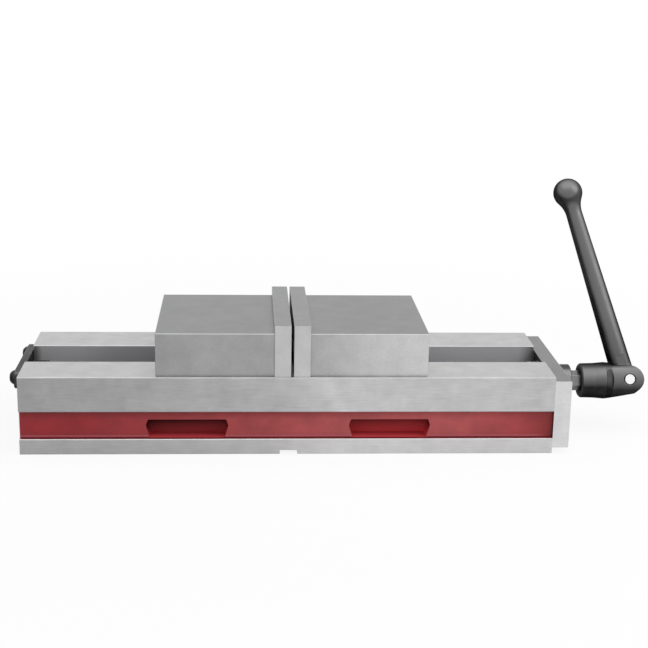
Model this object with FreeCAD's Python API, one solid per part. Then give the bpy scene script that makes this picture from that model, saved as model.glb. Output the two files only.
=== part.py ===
import FreeCAD, Part
import math
import os

# Self-centring precision machine vise. Lengths are in millimetres, angles in degrees.
# The origin is the middle of the cross key slot, on the base plane. X runs along the
# bed towards the crank, Z is up. The bed and the screw lie along X.

# bed
BED_LENGTH = 512.0
BED_WIDTH = 160.0
BED_HEIGHT = 77.0
BED_CHAMFER = 0.6
LIP_CHAMFER = 0.7

# slot between the rails, and the channel below them that the nuts run in
SLOT_WIDTH = 56.0
CHANNEL_WIDTH = 80.6
CHANNEL_BELOW_SCREW = 29.0
CHANNEL_CORNER = 5.0
RAIL_DEPTH = 22.0
WEB_THICKNESS = 16.0
WEB_BELOW_TOP = 15.5

# recessed painted band along both sides, open at both ends
BAND_BOTTOM = 15.4
UPPER_BAND_HEIGHT = 34.7
BAND_DEPTH = 4.0

# clamp pockets in the band, whose short sides are shallow vees
POCKET_CENTRE_X = 97.2
POCKET_WIDTH = 78.6
POCKET_TAPER_TOP = 2.0
POCKET_TAPER_BOTTOM = 3.5
POCKET_BAND_SHARE = 0.685
POCKET_APEX_SHARE = 0.68
POCKET_DEPTH = 22.0
POCKET_CORNER = 1.5

# key slots in the base, one across and one along
KEY_WIDTH = 17.0
KEY_DEPTH = 4.0

# end plate at the crank end
PLATE_THICKNESS = 16.1
PLATE_ABOVE_BASE = 6.0
PLATE_BELOW_TOP = 4.0
PLATE_CHAMFER = 0.8
PLATE_SCREW_SIDE_INSET = 18.0
PLATE_SCREW_ABOVE_EDGE = 14.0
PLATE_SCREW_BELOW_EDGE = 15.0
PLATE_SCREW_LENGTH = 20.0

# bar across the far end
BAR_THICKNESS = 8.0
BAR_HEIGHT = 17.5
BAR_BELOW_TOP = 4.0
BAR_CORNER = 4.0
BAR_EDGE = 1.0
BAR_SCREW_FROM_SLOT = 13.0
BAR_SCREW_BELOW_EDGE = 8.0
BAR_END_MARGIN = 9.0
BAR_SCREW_LENGTH = 22.0

# cap screws M10 and button-head screws M8
CAP_RADIUS = 5.0
CAP_HEAD_RADIUS = 8.0
CAP_HEAD_HEIGHT = 10.0
CAP_HEAD_CHAMFER = 0.6
CAP_SOCKET_FLATS = 8.0
CAP_SOCKET_DEPTH = 5.0
BUTTON_RADIUS = 4.0
BUTTON_HEAD_RADIUS = 7.0
BUTTON_HEAD_HEIGHT = 4.6
BUTTON_RIM = 0.8
BUTTON_TOP_SHARE = 0.55
BUTTON_SOCKET_FLATS = 5.0
BUTTON_SOCKET_DEPTH = 2.6
SCREW_HOLE_CLEARANCE = 0.5
HEAD_CLEARANCE = 0.6
HEAD_SINK = 0.5
TAP_SPARE = 2.0

# leadscrew: tail journal, threaded length, main journal, hexagon for the crank
SCREW_BELOW_TOP = 28.0
THREAD_RADIUS = 14.0
THREAD_CHAMFER = 1.5
NECK_DEPTH = 2.5
NECK_LENGTH = 24.0
TAIL_RADIUS = 7.0
TAIL_BUSH_LENGTH = 10.0
TAIL_END_PLAY = 1.5
JOURNAL_RADIUS = 10.0
BUSH_WALL_TAIL = 2.0
BUSH_WALL_MAIN = 3.0
HEX_CORNER_CUT = 1.0
HEX_CHAMFER = 1.0
RUN_CLEARANCE = 0.05

# thrust ball bearing between the screw's shoulder and the end plate
BEARING_OUTER_RADIUS = 20.0
BEARING_THICKNESS = 14.0
BEARING_SEAT_DEPTH = 2.0
BALL_COUNT = 10
BALL_RADIUS = 3.5
BALL_CLEARANCE = 0.06
GROOVE_DEPTH = 0.6
RACE_BORE_CLEARANCE = 1.0
RACE_RIM_CLEARANCE = 0.3
CAGE_CLEARANCE = 0.5
CAGE_THICKNESS = 2.6
CAGE_POCKET_CLEARANCE = 0.12

# thrust washer and lock collar outside the end plate
WASHER_THICKNESS = 1.6
COLLAR_WALL = 6.5
COLLAR_LENGTH = 13.95
COLLAR_ROUND = 1.6
WASHER_INSET = 0.5
COLLAR_SCREW_RADIUS = 3.0
COLLAR_SCREW_FLATS = 3.0
COLLAR_SCREW_SUNK = 0.5

# jaws; a jaw is described by its distance s from the plane that the jaws close on
JAW_CENTRE_X = 3.0
JAW_HALF_GAP = 1.3
JAW_PLATE_THICKNESS = 15.85
JAW_PLATE_INSET = 1.0
JAW_PLATE_HEIGHT = 50.0
JAW_PLATE_CHAMFER = 0.35
JAW_BLOCK_LENGTH = 112.65
JAW_BLOCK_INSET = 3.5
JAW_BLOCK_HEIGHT = 41.7
JAW_BLOCK_CHAMFER = 0.5
JAW_LIFT = 0.05
JAW_SCREW_SIDE_INSET = 26.5
JAW_SCREW_HEIGHT = 24.0
JAW_SCREW_LENGTH = 20.0
TONGUE_DEPTH = 8.0
TONGUE_FRONT_LENGTH = 21.5
TONGUE_REAR_LENGTH = 13.7
SLIDE_CLEARANCE = 0.1

# nut under each jaw, with the horn that pulls the jaw
NUT_BELOW_SCREW = 19.0
NUT_SIDE_CLEARANCE = 0.8
NUT_FRONT_CLEARANCE = 2.0
NUT_REAR_CLEARANCE = 4.0
NUT_CHAMFER = 1.5
NUT_TOP_CLEARANCE = 0.2
HORN_WIDTH = 38.0
HORN_HEIGHT = 27.0
HORN_CLEARANCE = 1.5
HORN_BACK_CLEARANCE = 19.0
HORN_SLOPE = 35.0
HORN_STANDOFF = 1.2

# half-ball between the horn and the jaw; its flat lies on the horn's sloping face
BALL_JOINT_RADIUS = 12.0
BALL_JOINT_HEIGHT = 15.0
BALL_JOINT_FROM_BACK = 22.0

# set screw behind the horn
JAW_END_WALL = 14.7
JAW_SET_RADIUS = 6.0
JAW_SET_FLATS = 6.0
JAW_SET_SUNK = 0.5
SET_SOCKET_DEPTH = 5.0
SET_CHAMFER = 0.8

# crank hub on the hexagon; the crank and the hexagon stand turned about the screw's axis
CRANK_TURN = 17.0
HUB_GAP = 10.1
HUB_WALL = 7.4
HUB_CHAMFER = 1.5
HUB_SLEEVE_LENGTH = 14.2
HUB_SLEEVE_FLARE = 0.3
HUB_BULGE = 1.0
HUB_BULGE_LENGTH = 11.0
HUB_STEP_LENGTH = 0.8
HUB_STEP = 4.6
HUB_SOCKET_DEPTH = 22.0
HUB_SOCKET_CLEARANCE = 0.2
HUB_SOCKET_SPARE = 0.2
HUB_MOUTH_WALL = 4.0
HUB_MOUTH_DEPTH = 2.6
EAR_THICKNESS = 5.8
EAR_WALL = 3.4
EAR_CROWN = 30.0
EAR_HEEL = 0.9
EAR_HEEL_ANGLE = 71.0
EAR_NECK_RADIUS = 4.4
EAR_NECK_DEPTH = 2.4
EAR_NECK_FROM_RIM = 3.6
PIN_FROM_BULGE = 24.0
PIN_ABOVE_SCREW = 1.16
PIN_RADIUS = 5.0
PIN_SINK = 0.5
PIN_COUNTERSINK = 1.6
PIN_CHAMFER = 0.2

# crank arm
ARM_LEAN = 16.8
ARM_OUT = 90.0
ARM_OFFSET = 1.6
ARM_TONGUE_WIDTH = 20.8
ARM_EYE_RADIUS = 10.4
ARM_FLATS_END = 26.0
ARM_FOOT_CHAMFER = 4.4
ARM_ROOT_RADIUS = 11.7
ARM_TIP_RADIUS = 7.8
ARM_LENGTH = 199.6
ARM_BALL_RADIUS = 14.8
ARM_NECK_RADIUS = 26.0
ARM_BORE_CLEARANCE = 0.08
ARM_STOP_CLEARANCE = 0.1
ARM_SIDE_CLEARANCE = 0.3
ARM_END_CLEARANCE = 0.6
ARM_STOP_START = 4.0
ARM_CUT_REACH = 60.0

# places and sizes worked out from the ones above: bed and screw
BED_END = BED_LENGTH / 2
BAND_TOP = BED_HEIGHT - UPPER_BAND_HEIGHT
RAIL_UNDERSIDE = BED_HEIGHT - RAIL_DEPTH
SCREW_HEIGHT = BED_HEIGHT - SCREW_BELOW_TOP
CHANNEL_FLOOR = SCREW_HEIGHT - CHANNEL_BELOW_SCREW
WEB_FACE = -BED_END + WEB_THICKNESS
WEB_TOP = BED_HEIGHT - WEB_BELOW_TOP
POCKET_HEIGHT = (BAND_TOP - BAND_BOTTOM) * POCKET_BAND_SHARE
PLATE_FACE = BED_END + PLATE_THICKNESS
PLATE_BOTTOM = PLATE_ABOVE_BASE
PLATE_TOP = BED_HEIGHT - PLATE_BELOW_TOP
PLATE_SCREW_Y = BED_WIDTH / 2 - PLATE_SCREW_SIDE_INSET
PLATE_SCREW_HEIGHTS = (PLATE_BOTTOM + PLATE_SCREW_ABOVE_EDGE, PLATE_TOP - PLATE_SCREW_BELOW_EDGE)
BAR_TOP = BED_HEIGHT - BAR_BELOW_TOP
BAR_SCREW_Y = SLOT_WIDTH / 2 + BAR_SCREW_FROM_SLOT
BAR_SCREW_Z = BAR_TOP - BAR_SCREW_BELOW_EDGE
BAR_HALF_LENGTH = BAR_SCREW_Y + BAR_END_MARGIN
CAP_HOLE_RADIUS = CAP_RADIUS + SCREW_HOLE_CLEARANCE
CAP_COUNTERBORE_RADIUS = CAP_HEAD_RADIUS + HEAD_CLEARANCE
CAP_COUNTERBORE_DEPTH = CAP_HEAD_HEIGHT + HEAD_SINK
SHOULDER = BED_END + BEARING_SEAT_DEPTH - BEARING_THICKNESS
BALL_PLANE = SHOULDER + BEARING_THICKNESS / 2
BALL_CIRCLE_RADIUS = (JOURNAL_RADIUS + BEARING_OUTER_RADIUS) / 2
RACE_THICKNESS = BEARING_THICKNESS / 2 - BALL_RADIUS + GROOVE_DEPTH
JOURNAL_BUSH_RADIUS = JOURNAL_RADIUS + BUSH_WALL_MAIN
TAIL_BUSH_RADIUS = TAIL_RADIUS + BUSH_WALL_TAIL
WASHER_START = PLATE_FACE + RUN_CLEARANCE
COLLAR_START = WASHER_START + WASHER_THICKNESS
COLLAR_END = COLLAR_START + COLLAR_LENGTH
COLLAR_RADIUS = JOURNAL_RADIUS + COLLAR_WALL
HEX_FLATS = 2 * (JOURNAL_RADIUS - HEX_CORNER_CUT)

# the same for the jaws and nuts
SEAT_HEIGHT = BED_HEIGHT + JAW_LIFT
BLOCK_START = JAW_HALF_GAP + JAW_PLATE_THICKNESS
BLOCK_END = BLOCK_START + JAW_BLOCK_LENGTH
JAW_PLATE_HALF_WIDTH = BED_WIDTH / 2 - JAW_PLATE_INSET
JAW_BLOCK_HALF_WIDTH = JAW_PLATE_HALF_WIDTH - JAW_BLOCK_INSET
JAW_SCREW_Y = JAW_BLOCK_HALF_WIDTH - JAW_SCREW_SIDE_INSET
TONGUE_HALF_WIDTH = SLOT_WIDTH / 2 - SLIDE_CLEARANCE
NUT_START = BLOCK_START + TONGUE_FRONT_LENGTH + NUT_FRONT_CLEARANCE
NUT_END = BLOCK_END - TONGUE_REAR_LENGTH - NUT_REAR_CLEARANCE
JAW_POCKET_END = BLOCK_END - JAW_END_WALL
HORN_BACK = JAW_POCKET_END - HORN_BACK_CLEARANCE
BALL_JOINT_S = HORN_BACK - BALL_JOINT_FROM_BACK

# the same for the crank
HUB_FACE = COLLAR_END + HUB_GAP
HUB_RADIUS = JOURNAL_RADIUS + HUB_WALL
HUB_RIM_RADIUS = HUB_RADIUS + HUB_SLEEVE_FLARE + HUB_BULGE
HUB_BULGE_X = HUB_FACE + HUB_SLEEVE_LENGTH + HUB_BULGE_LENGTH
HEX_END = HUB_FACE + HUB_SOCKET_DEPTH - HUB_SOCKET_SPARE
EAR_WIDTH = ARM_TONGUE_WIDTH + 2 * (ARM_SIDE_CLEARANCE + EAR_THICKNESS)
EAR_RADIUS = ARM_EYE_RADIUS + ARM_END_CLEARANCE + EAR_WALL
PIN_X = HUB_BULGE_X + PIN_FROM_BULGE
PIN_Z = SCREW_HEIGHT + PIN_ABOVE_SCREW

V = FreeCAD.Vector
ALONG_X = V(1, 0, 0)
ALONG_Y = V(0, 1, 0)
ALONG_Z = V(0, 0, 1)
SCREW_AXIS = V(0, 0, SCREW_HEIGHT)


def block(x0, x1, y0, y1, z0, z1):
    return Part.makeBox(x1 - x0, y1 - y0, z1 - z0, V(x0, y0, z0))


def rod(radius, x0, x1, y=0.0, z=SCREW_HEIGHT):
    """A cylinder along X."""
    return Part.makeCylinder(radius, x1 - x0, V(x0, y, z), ALONG_X)


def ring(outer, inner, x0, x1):
    """A tube round the screw's axis."""
    return rod(outer, x0, x1).cut(rod(inner, x0, x1))


def prism_xz(points, width):
    """An outline in the XZ plane, extruded the same distance to both sides of Y = 0."""
    corners = [V(x, -width / 2, z) for x, z in points]
    outline = Part.makePolygon(corners + corners[:1])
    return Part.Face(outline).extrude(V(0, width, 0))


def prism_x(points, x0, x1):
    """An outline in the YZ plane, extruded along X."""
    corners = [V(x0, y, z) for y, z in points]
    outline = Part.makePolygon(corners + corners[:1])
    return Part.Face(outline).extrude(V(x1 - x0, 0, 0))


def turned(points):
    """A profile of (x, radius) points revolved about the screw's axis."""
    corners = [V(x, 0, SCREW_HEIGHT + radius) for x, radius in points]
    outline = Part.makePolygon(corners + corners[:1])
    return Part.Face(outline).revolve(SCREW_AXIS, ALONG_X, 360)


def hexagon(flats, x0, x1, y=0.0, z=SCREW_HEIGHT):
    """A hexagonal prism along X with a corner at the top."""
    radius = flats / math.sqrt(3)
    turns = [math.radians(90 + 60 * i) for i in range(6)]
    return prism_x([(y + radius * math.cos(a), z + radius * math.sin(a)) for a in turns], x0, x1)


def with_crank_turn(shape):
    """A shape drawn for an upright crank, turned to how the crank stands."""
    shape.rotate(SCREW_AXIS, ALONG_X, -CRANK_TURN)
    return shape


def edges_where(shape, test):
    """The straight or round edges whose box passes the test."""
    return [edge for edge in shape.Edges if test(edge.BoundBox)]


def near(a, b):
    return abs(a - b) < 0.01


def both_sides(make, y):
    """The same feature at y and at -y."""
    return [make(side * y) for side in (-1, 1)]


def join(shapes):
    first = shapes[0]
    return first.fuse(shapes[1:]) if len(shapes) > 1 else first


def group(shapes):
    """Separate solids kept together in one file."""
    return Part.makeCompound(shapes)


def tangent(point, radius, side):
    """Where the tangent from a point meets a circle round the origin, on the side given."""
    x, z = point
    reach = math.atan2(z, x) + side * math.acos(radius / math.hypot(x, z))
    return radius * math.cos(reach), radius * math.sin(reach)


# bed

def pocket_cutter(centre_x, side):
    """A clamp pocket: its short sides are shallow vees and its corners are round."""
    low = BAND_BOTTOM
    half = POCKET_WIDTH / 2
    apex = low + POCKET_HEIGHT * POCKET_APEX_SHARE
    outline = [
        (centre_x - half + POCKET_TAPER_BOTTOM, low),
        (centre_x + half - POCKET_TAPER_BOTTOM, low),
        (centre_x + half, apex),
        (centre_x + half - POCKET_TAPER_TOP, low + POCKET_HEIGHT),
        (centre_x - half + POCKET_TAPER_TOP, low + POCKET_HEIGHT),
        (centre_x - half, apex),
    ]
    cutter = prism_xz(outline, POCKET_DEPTH)
    corners = edges_where(cutter, lambda b: near(b.YLength, POCKET_DEPTH) and b.ZMin > low + 1)
    cutter = cutter.makeFillet(POCKET_CORNER, corners)
    cutter.translate(V(0, side * (BED_WIDTH - POCKET_DEPTH) / 2, 0))
    return cutter


def band_cutter(side):
    """The recess along one side of the bed, open at both ends."""
    outside = side * BED_WIDTH / 2
    inside = side * (BED_WIDTH / 2 - BAND_DEPTH)
    return block(-BED_END, BED_END, min(outside, inside), max(outside, inside), BAND_BOTTOM, BAND_TOP)


def channel_cutter():
    channel = block(WEB_FACE, BED_END, -CHANNEL_WIDTH / 2, CHANNEL_WIDTH / 2, CHANNEL_FLOOR, RAIL_UNDERSIDE)
    run = BED_END - WEB_FACE
    bottom = edges_where(channel, lambda b: near(b.XLength, run) and near(b.ZMax, CHANNEL_FLOOR))
    channel = channel.makeFillet(CHANNEL_CORNER, bottom)
    slot = block(WEB_FACE, BED_END, -SLOT_WIDTH / 2, SLOT_WIDTH / 2, RAIL_UNDERSIDE, BED_HEIGHT)
    over_web = block(-BED_END, WEB_FACE, -SLOT_WIDTH / 2, SLOT_WIDTH / 2, WEB_TOP, BED_HEIGHT)
    return join([channel, slot, over_web])


def bed():
    body = block(-BED_END, BED_END, -BED_WIDTH / 2, BED_WIDTH / 2, 0, BED_HEIGHT)
    body = body.cut(channel_cutter())
    body = body.cut([band_cutter(side) for side in (-1, 1)])
    along = edges_where(body, lambda b: near(b.ZMin, BED_HEIGHT) and b.XLength > BED_END)
    body = body.makeChamfer(BED_CHAMFER, along)
    lips = edges_where(body, lambda b: near(b.ZLength, 0) and b.XLength > BED_END
                       and near(abs(b.YMin), BED_WIDTH / 2) and b.ZMin <= BAND_TOP + LIP_CHAMFER)
    body = body.makeChamfer(LIP_CHAMFER, lips)
    cuts = [block(-KEY_WIDTH / 2, KEY_WIDTH / 2, -BED_WIDTH / 2, BED_WIDTH / 2, 0, KEY_DEPTH)]
    cuts.append(block(-BED_END, BED_END, -KEY_WIDTH / 2, KEY_WIDTH / 2, 0, KEY_DEPTH))
    for centre_x in (-POCKET_CENTRE_X, POCKET_CENTRE_X):
        cuts += [pocket_cutter(centre_x, side) for side in (-1, 1)]
    for z in PLATE_SCREW_HEIGHTS:
        depth = PLATE_SCREW_LENGTH + CAP_COUNTERBORE_DEPTH - PLATE_THICKNESS + TAP_SPARE
        cuts += both_sides(lambda y: rod(CAP_RADIUS, BED_END - depth, BED_END, y, z), PLATE_SCREW_Y)
    tapped = -BED_END + BAR_SCREW_LENGTH - BAR_THICKNESS + TAP_SPARE
    cuts += both_sides(lambda y: rod(BUTTON_RADIUS, -BED_END, tapped, y, BAR_SCREW_Z), BAR_SCREW_Y)
    cuts.append(rod(TAIL_BUSH_RADIUS, WEB_FACE - TAIL_BUSH_LENGTH, WEB_FACE))
    return body.cut(cuts)


def end_plate():
    plate = block(BED_END, PLATE_FACE, -BED_WIDTH / 2, BED_WIDTH / 2, PLATE_BOTTOM, PLATE_TOP)
    rim = edges_where(plate, lambda b: near(b.XMin, PLATE_FACE))
    plate = plate.makeChamfer(PLATE_CHAMFER, rim)
    cuts = [rod(JOURNAL_BUSH_RADIUS, BED_END, PLATE_FACE)]
    cuts.append(rod(BEARING_OUTER_RADIUS, BED_END, BED_END + BEARING_SEAT_DEPTH))
    for z in PLATE_SCREW_HEIGHTS:
        cuts += both_sides(lambda y: rod(CAP_HOLE_RADIUS, BED_END, PLATE_FACE, y, z), PLATE_SCREW_Y)
        seat = PLATE_FACE - CAP_COUNTERBORE_DEPTH
        cuts += both_sides(lambda y: rod(CAP_COUNTERBORE_RADIUS, seat, PLATE_FACE, y, z), PLATE_SCREW_Y)
    return plate.cut(cuts)


def cap_screw(seat_x, length, y, z, way):
    """A cap screw with its head's underside at seat_x; way is 1 if the head points to +X."""
    head = Part.makeCylinder(CAP_HEAD_RADIUS, CAP_HEAD_HEIGHT)
    rim = edges_where(head, lambda b: near(b.ZMin, CAP_HEAD_HEIGHT))
    head = head.makeChamfer(CAP_HEAD_CHAMFER, rim)
    shank = Part.makeCylinder(CAP_RADIUS, length, V(0, 0, -length))
    radius = CAP_SOCKET_FLATS / math.sqrt(3)
    socket = six_sided(radius, CAP_HEAD_HEIGHT - CAP_SOCKET_DEPTH, CAP_HEAD_HEIGHT)
    screw = head.fuse(shank).cut(socket)
    return laid_along_x(screw, V(seat_x, y, z), way)


def six_sided(radius, z0, z1):
    """A hexagonal prism along Z."""
    corners = [V(radius * math.cos(a), radius * math.sin(a), z0) for a in
               (math.radians(60 * i) for i in range(6))]
    return Part.Face(Part.makePolygon(corners + corners[:1])).extrude(V(0, 0, z1 - z0))


def laid_along_x(shape, place, way):
    """A shape made along Z, turned to lie along X with its top towards way, and moved."""
    turn = FreeCAD.Rotation(ALONG_Y, 90 * way)
    shape.Placement = FreeCAD.Placement(place, turn)
    return shape


def end_plate_screws():
    seat = PLATE_FACE - CAP_COUNTERBORE_DEPTH
    screws = []
    for z in PLATE_SCREW_HEIGHTS:
        screws += both_sides(lambda y: cap_screw(seat, PLATE_SCREW_LENGTH, y, z, 1), PLATE_SCREW_Y)
    return group(screws)


def end_bar():
    outside = -BED_END - BAR_THICKNESS
    bar = block(outside, -BED_END, -BAR_HALF_LENGTH, BAR_HALF_LENGTH, BAR_TOP - BAR_HEIGHT, BAR_TOP)
    corners = edges_where(bar, lambda b: near(b.XLength, BAR_THICKNESS))
    bar = bar.makeFillet(BAR_CORNER, corners)
    face = edges_where(bar, lambda b: near(b.XMax, outside))
    bar = bar.makeChamfer(BAR_EDGE, face)
    hole = BUTTON_RADIUS + SCREW_HOLE_CLEARANCE
    return bar.cut(both_sides(lambda y: rod(hole, outside, -BED_END, y, BAR_SCREW_Z), BAR_SCREW_Y))


def button_screw(seat_x, length, y, z, way):
    """A button-head screw: a low domed head with a hexagon socket."""
    rise = BUTTON_HEAD_HEIGHT - BUTTON_RIM
    top_radius = BUTTON_HEAD_RADIUS * BUTTON_TOP_SHARE
    drop = (BUTTON_HEAD_RADIUS ** 2 - top_radius ** 2 - rise ** 2) / (2 * rise)
    dome = Part.makeSphere(math.hypot(BUTTON_HEAD_RADIUS, drop), V(0, 0, BUTTON_RIM - drop))
    head = Part.makeCylinder(BUTTON_HEAD_RADIUS, BUTTON_HEAD_HEIGHT).common(dome)
    shank = Part.makeCylinder(BUTTON_RADIUS, length, V(0, 0, -length))
    radius = BUTTON_SOCKET_FLATS / math.sqrt(3)
    socket = six_sided(radius, BUTTON_HEAD_HEIGHT - BUTTON_SOCKET_DEPTH, BUTTON_HEAD_HEIGHT)
    screw = head.fuse(shank).cut(socket)
    return laid_along_x(screw, V(seat_x, y, z), way)


def end_bar_screws():
    seat = -BED_END - BAR_THICKNESS
    screws = both_sides(lambda y: button_screw(seat, BAR_SCREW_LENGTH, y, BAR_SCREW_Z, -1), BAR_SCREW_Y)
    return group(screws)


def journal_bush():
    start = BED_END + BEARING_SEAT_DEPTH
    return ring(JOURNAL_BUSH_RADIUS, JOURNAL_RADIUS + RUN_CLEARANCE, start, PLATE_FACE)


def tail_bush():
    return ring(TAIL_BUSH_RADIUS, TAIL_RADIUS + RUN_CLEARANCE, WEB_FACE - TAIL_BUSH_LENGTH, WEB_FACE)


# screw and bearing

def groove():
    """The track that the balls roll in, cut from both races."""
    return Part.makeTorus(
        BALL_CIRCLE_RADIUS, BALL_RADIUS + BALL_CLEARANCE, V(BALL_PLANE, 0, SCREW_HEIGHT), ALONG_X
    )


def thrust_race_shaft():
    rim = BEARING_OUTER_RADIUS - RACE_RIM_CLEARANCE
    return ring(rim, JOURNAL_RADIUS, SHOULDER, SHOULDER + RACE_THICKNESS).cut(groove())


def thrust_race_housing():
    back = SHOULDER + BEARING_THICKNESS
    bore = JOURNAL_RADIUS + RACE_BORE_CLEARANCE
    return ring(BEARING_OUTER_RADIUS, bore, back - RACE_THICKNESS, back).cut(groove())


def ball_places():
    for i in range(BALL_COUNT):
        angle = 2 * math.pi * i / BALL_COUNT
        yield BALL_CIRCLE_RADIUS * math.cos(angle), SCREW_HEIGHT + BALL_CIRCLE_RADIUS * math.sin(angle)


def thrust_balls():
    return group([Part.makeSphere(BALL_RADIUS, V(BALL_PLANE, y, z)) for y, z in ball_places()])


def thrust_cage():
    x0 = BALL_PLANE - CAGE_THICKNESS / 2
    x1 = BALL_PLANE + CAGE_THICKNESS / 2
    cage = ring(BEARING_OUTER_RADIUS - CAGE_CLEARANCE, JOURNAL_RADIUS + CAGE_CLEARANCE, x0, x1)
    return cage.cut([rod(BALL_RADIUS + CAGE_POCKET_CLEARANCE, x0, x1, y, z) for y, z in ball_places()])


def leadscrew():
    tail_start = WEB_FACE - TAIL_BUSH_LENGTH + RUN_CLEARANCE
    thread_start = WEB_FACE + TAIL_END_PLAY
    neck = (JAW_CENTRE_X - NECK_LENGTH / 2, JAW_CENTRE_X + NECK_LENGTH / 2)
    profile = [
        (tail_start, 0),
        (tail_start, TAIL_RADIUS),
        (thread_start, TAIL_RADIUS),
        (thread_start, THREAD_RADIUS - THREAD_CHAMFER),
        (thread_start + THREAD_CHAMFER, THREAD_RADIUS),
        (neck[0], THREAD_RADIUS),
        (neck[0] + NECK_DEPTH, THREAD_RADIUS - NECK_DEPTH),
        (neck[1] - NECK_DEPTH, THREAD_RADIUS - NECK_DEPTH),
        (neck[1], THREAD_RADIUS),
        (SHOULDER - THREAD_CHAMFER, THREAD_RADIUS),
        (SHOULDER, THREAD_RADIUS - THREAD_CHAMFER),
        (SHOULDER, JOURNAL_RADIUS),
        (COLLAR_END, JOURNAL_RADIUS),
        (COLLAR_END, 0),
    ]
    drive = rod(JOURNAL_RADIUS, COLLAR_END, HEX_END)
    rim = edges_where(drive, lambda b: near(b.XMin, HEX_END))
    drive = drive.makeChamfer(HEX_CHAMFER, rim).common(hexagon(HEX_FLATS, COLLAR_END, HEX_END))
    return turned(profile).fuse(with_crank_turn(drive))


def thrust_washer():
    return ring(COLLAR_RADIUS - WASHER_INSET, JOURNAL_RADIUS, WASHER_START, COLLAR_START)


def collar_screw_hole(radius, y0, y1):
    """A cylinder across the collar, on its hidden side."""
    middle = COLLAR_START + COLLAR_LENGTH / 2
    return Part.makeCylinder(radius, y1 - y0, V(middle, y0, SCREW_HEIGHT), ALONG_Y)


def lock_collar():
    collar = rod(COLLAR_RADIUS, COLLAR_START, COLLAR_END)
    rims = edges_where(collar, lambda b: near(b.XLength, 0))
    collar = collar.makeFillet(COLLAR_ROUND, rims)
    collar = collar.cut(rod(JOURNAL_RADIUS, COLLAR_START, COLLAR_END))
    return collar.cut(collar_screw_hole(COLLAR_SCREW_RADIUS, 0, COLLAR_RADIUS))


def collar_set_screw():
    screw = collar_screw_hole(COLLAR_SCREW_RADIUS, 0, COLLAR_RADIUS - COLLAR_SCREW_SUNK)
    screw = screw.cut(rod(JOURNAL_RADIUS, COLLAR_START, COLLAR_END))
    socket = six_sided(COLLAR_SCREW_FLATS / math.sqrt(3), 0, COLLAR_SCREW_RADIUS)
    turn = FreeCAD.Rotation(ALONG_X, -90)
    depth = COLLAR_RADIUS - COLLAR_SCREW_SUNK - COLLAR_SCREW_RADIUS
    middle = COLLAR_START + COLLAR_LENGTH / 2
    socket.Placement = FreeCAD.Placement(V(middle, depth, SCREW_HEIGHT), turn)
    return screw.cut(socket)


# jaws, made for the right jaw with s along X, then mirrored or moved

def jaw_plate():
    half = JAW_PLATE_HALF_WIDTH
    plate = block(JAW_HALF_GAP, BLOCK_START, -half, half, SEAT_HEIGHT, SEAT_HEIGHT + JAW_PLATE_HEIGHT)
    plate = plate.makeChamfer(JAW_PLATE_CHAMFER, plate.Edges)
    z = SEAT_HEIGHT + JAW_SCREW_HEIGHT
    seat = JAW_HALF_GAP + CAP_COUNTERBORE_DEPTH
    cuts = both_sides(lambda y: rod(CAP_HOLE_RADIUS, JAW_HALF_GAP, BLOCK_START, y, z), JAW_SCREW_Y)
    cuts += both_sides(lambda y: rod(CAP_COUNTERBORE_RADIUS, JAW_HALF_GAP, seat, y, z), JAW_SCREW_Y)
    return plate.cut(cuts)


def jaw_plate_screws():
    z = SEAT_HEIGHT + JAW_SCREW_HEIGHT
    seat = JAW_HALF_GAP + CAP_COUNTERBORE_DEPTH
    return group(both_sides(lambda y: cap_screw(seat, JAW_SCREW_LENGTH, y, z, -1), JAW_SCREW_Y))


def slope_line(height, standoff=0.0):
    """Where the horn's sloping face is, as a distance s, at a height over the jaw's seat."""
    back = standoff / math.cos(math.radians(HORN_SLOPE))
    return BALL_JOINT_S - back - (height - BALL_JOINT_HEIGHT) * math.tan(math.radians(HORN_SLOPE))


def joint_ball():
    return Part.makeSphere(BALL_JOINT_RADIUS, V(BALL_JOINT_S, 0, SEAT_HEIGHT + BALL_JOINT_HEIGHT))


def horn_side(reach):
    """Everything behind the sloping face: a wedge that reaches past the half-ball."""
    low = BALL_JOINT_HEIGHT - reach
    high = BALL_JOINT_HEIGHT + reach
    far = BALL_JOINT_S + 3 * reach
    outline = [(slope_line(low), low), (far, low), (far, high), (slope_line(high), high)]
    wedge = prism_xz(outline, 2 * reach)
    wedge.translate(V(0, 0, SEAT_HEIGHT))
    return wedge


def lock_segment():
    return joint_ball().cut(horn_side(2 * BALL_JOINT_RADIUS))


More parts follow.
